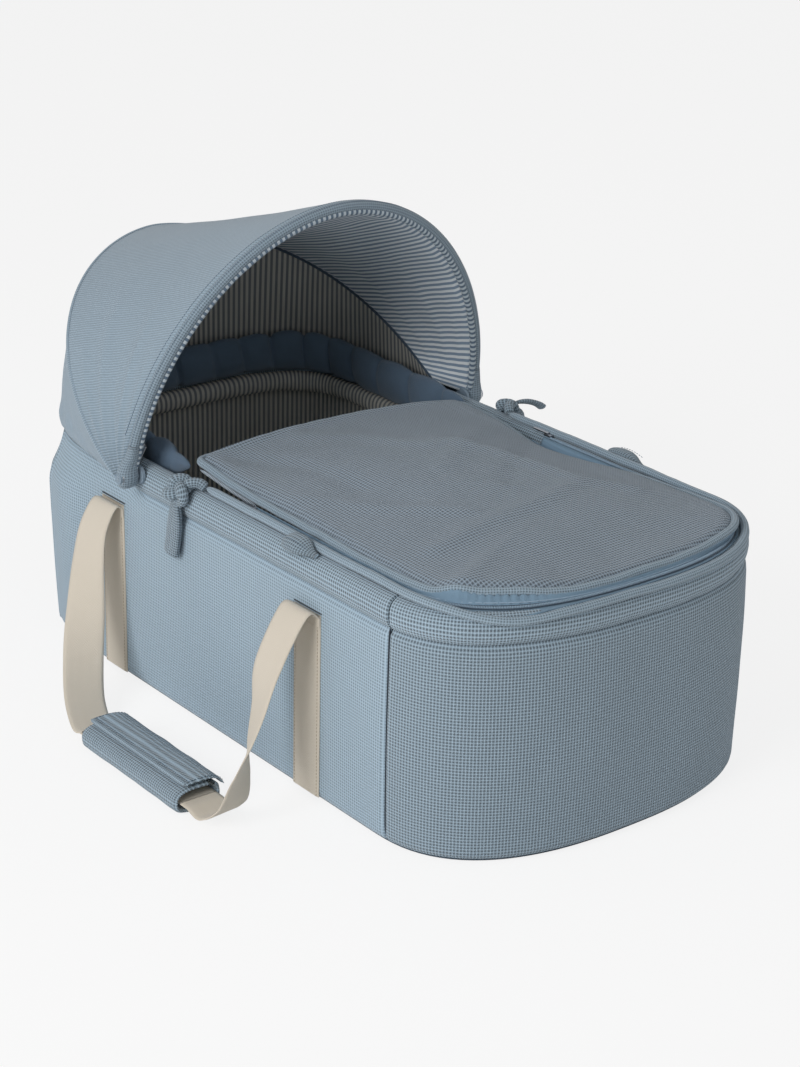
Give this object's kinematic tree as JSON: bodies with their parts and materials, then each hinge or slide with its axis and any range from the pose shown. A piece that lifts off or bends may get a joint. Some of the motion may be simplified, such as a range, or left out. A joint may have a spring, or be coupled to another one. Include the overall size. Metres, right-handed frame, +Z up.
{
  "type": "carrycot",
  "caption": "Soft padded carrycot with a folding two-bow hood, a zipped apron over the foot half, a mattress, and webbing handles, one of them with a wrap-round grip.",
  "frame": {"origin": "middle of the underside, on the floor", "axes": "+X across the cot, +Y along its length towards the hood, +Z up; left is the -X side"},
  "size_m": [0.6305, 0.7891, 0.4865],
  "materials": {
    "waffle_knit": "blue-grey waffle knit, cells about 3 mm, matt",
    "cover_knit": "greyer blue waffle knit, matt",
    "hood_knit": "lighter blue finely ribbed knit, softly creased",
    "striped_lining": "smooth cotton with cream and blue-grey stripes about 9 mm apart",
    "bumper_cloth": "smooth plain blue cloth, gathered",
    "underside_cloth": "dark blue-grey cloth",
    "webbing": "cream twill webbing",
    "wall_board": "stiff quilted padding board",
    "base_board": "thin pressed fibre board",
    "mattress_cover": "off-white quilted cotton",
    "zip_tape": "light blue woven zip tape and coil",
    "zip_metal": "small nickel-coloured zip slider",
    "touch_tape": "hook and loop tape",
    "bow_steel": "sprung steel wire",
    "pivot_plastic": "dark moulded plastic"
  },
  "bodies": {
    "basket": {"left_side_panel": "waffle_knit", "right_side_panel": "waffle_knit", "foot_end_panel": "waffle_knit", "head_end_panel": "waffle_knit", "left_side_rim_roll": "waffle_knit", "right_side_rim_roll": "waffle_knit", "foot_end_rim_roll": "waffle_knit", "head_end_rim_roll": "waffle_knit", "lower_piping": "waffle_knit", "left_knotted_tie": "waffle_knit", "right_knotted_tie": "waffle_knit", "left_tie_stub": "waffle_knit", "right_tie_stub": "waffle_knit", "canopy_back": "hood_knit", "lining_back": "striped_lining", "left_side_liner": "striped_lining", "right_side_liner": "striped_lining", "foot_end_liner": "striped_lining", "head_end_liner": "striped_lining", "liner_roll": "striped_lining", "head_bumper": "bumper_cloth", "underside_panel": "underside_cloth", "left_foot_webbing": "webbing", "left_head_webbing": "webbing", "right_foot_webbing": "webbing", "right_head_webbing": "webbing", "left_side_board": "wall_board", "right_side_board": "wall_board", "foot_end_board": "wall_board", "head_end_board": "wall_board", "base_board": "base_board", "mattress": "mattress_cover", "lower_zip_tape": "zip_tape", "upper_zip_tape": "zip_tape", "zip_coil": "zip_tape", "left_hood_pivot": "pivot_plastic", "right_hood_pivot": "pivot_plastic"},
    "hood_front": {"hood_front_bow": "bow_steel", "hood_front_hem": "hood_knit", "canopy_top": "hood_knit", "lining_top": "striped_lining"},
    "hood_rear": {"hood_rear_bow": "bow_steel"},
    "apron": {"apron_panel": "cover_knit", "upper_piping": "waffle_knit"},
    "left_slider": {"left_zip_slider": "zip_metal"},
    "right_slider": {"right_zip_slider": "zip_metal"},
    "left_pull": {"left_zip_pull": "zip_metal"},
    "right_pull": {"right_zip_pull": "zip_metal"},
    "left_handle": {"left_foot_strap": "webbing", "left_head_strap": "webbing", "grip_core_webbing": "webbing", "grip_wrap": "waffle_knit", "grip_loop_patch": "touch_tape"},
    "grip_cover": {"grip_flap": "waffle_knit", "grip_hook_patch": "touch_tape"},
    "right_handle": {"right_foot_strap": "webbing", "right_head_strap": "webbing", "right_handle_webbing": "webbing"}
  },
  "joints": [
    {"name": "hood_fold", "type": "hinge", "parent": "basket", "child": "hood_front", "pos_m": [0, 0.129, 0.232], "axis": [-1, 0, 0], "range_deg": [0, 76.4], "deforming": ["canopy_top", "lining_top", "canopy_back", "lining_back"]},
    {"name": "rear_bow_fold", "type": "hinge", "parent": "basket", "child": "hood_rear", "pos_m": [0, 0.129, 0.232], "axis": [-1, 0, 0], "range_deg": [0, 12.7]},
    {"name": "apron_lift", "type": "hinge", "parent": "basket", "child": "apron", "pos_m": [0, -0.359, 0.2515], "axis": [1, 0, 0], "range_deg": [0, 160], "deforming": ["upper_zip_tape"]},
    {"name": "left_zip_slide", "type": "slide", "parent": "basket", "child": "left_slider", "axis": [0, -1, 0], "range_m": [0, 0.185]},
    {"name": "right_zip_slide", "type": "slide", "parent": "basket", "child": "right_slider", "axis": [0, -1, 0], "range_m": [0, 0.185]},
    {"name": "left_pull_lift", "type": "hinge", "parent": "left_slider", "child": "left_pull", "pos_m": [-0.1813, -0.0347, 0.24413], "axis": [1, 0, 0], "range_deg": [0, 150]},
    {"name": "right_pull_lift", "type": "hinge", "parent": "right_slider", "child": "right_pull", "pos_m": [0.1813, -0.0347, 0.24413], "axis": [1, 0, 0], "range_deg": [0, 150]},
    {"name": "left_handle_lift", "type": "hinge", "parent": "basket", "child": "left_handle", "pos_m": [-0.2036, -0.023, 0.189], "axis": [0, 1, 0], "range_deg": [0, 120], "deforming": ["left_foot_strap", "left_head_strap"]},
    {"name": "right_handle_lift", "type": "hinge", "parent": "basket", "child": "right_handle", "pos_m": [0.2036, -0.023, 0.189], "axis": [0, -1, 0], "range_deg": [0, 120], "deforming": ["right_foot_strap", "right_head_strap"]},
    {"name": "grip_cover_open", "type": "hinge", "parent": "left_handle", "child": "grip_cover", "pos_m": [-0.2719, -0.0328, 0.0197], "axis": [0, 1, 0], "range_deg": [0, 100]}
  ],
  "couplings": [
    {"joint": "rear_bow_fold", "follows": "hood_fold", "ratio": 0.1662}
  ]
}
